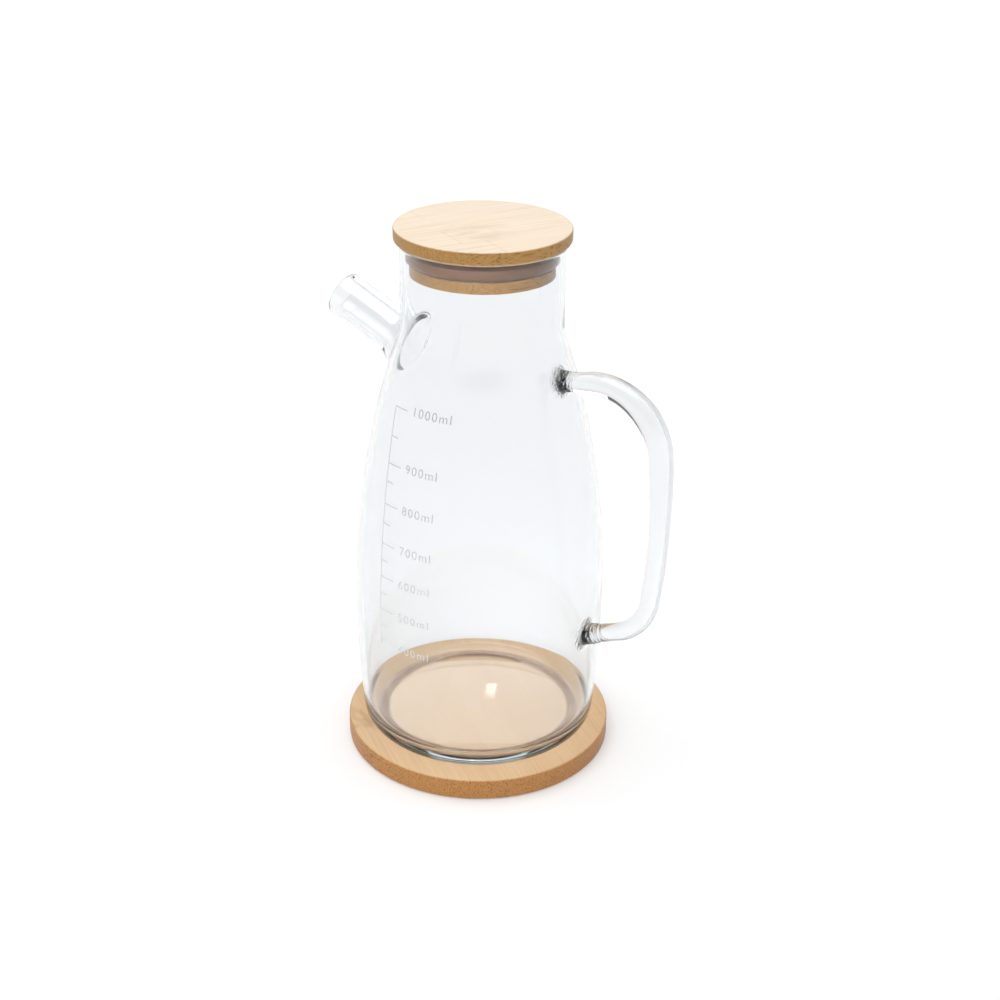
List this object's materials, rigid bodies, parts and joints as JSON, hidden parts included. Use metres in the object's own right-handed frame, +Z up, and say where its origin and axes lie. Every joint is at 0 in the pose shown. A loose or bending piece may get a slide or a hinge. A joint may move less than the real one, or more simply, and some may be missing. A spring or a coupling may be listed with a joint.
{
  "type": "glass jug with bamboo lid and coaster",
  "caption": "Tall round glass jug with a straight neck, a tubular pouring spout and a bent rod handle, closed by a turned bamboo lid with a silicone seal and standing on a bamboo coaster.",
  "frame": {"origin": "centre of the coaster's underside, on the jug's own axis", "axes": "+Z up along the jug's axis; +X towards the handle; -X towards the pouring spout; the printed scale faces -Y"},
  "size_m": [0.1586, 0.112, 0.2264],
  "materials": {
    "glass": "clear fire-polished borosilicate",
    "bamboo": "sanded laminated bamboo with a thin matt oil",
    "silicone": "moulded translucent silicone"
  },
  "bodies": {
    "root": {"jug": "glass", "lid": "bamboo", "seal": "silicone", "coaster": "bamboo"}
  },
  "joints": []
}
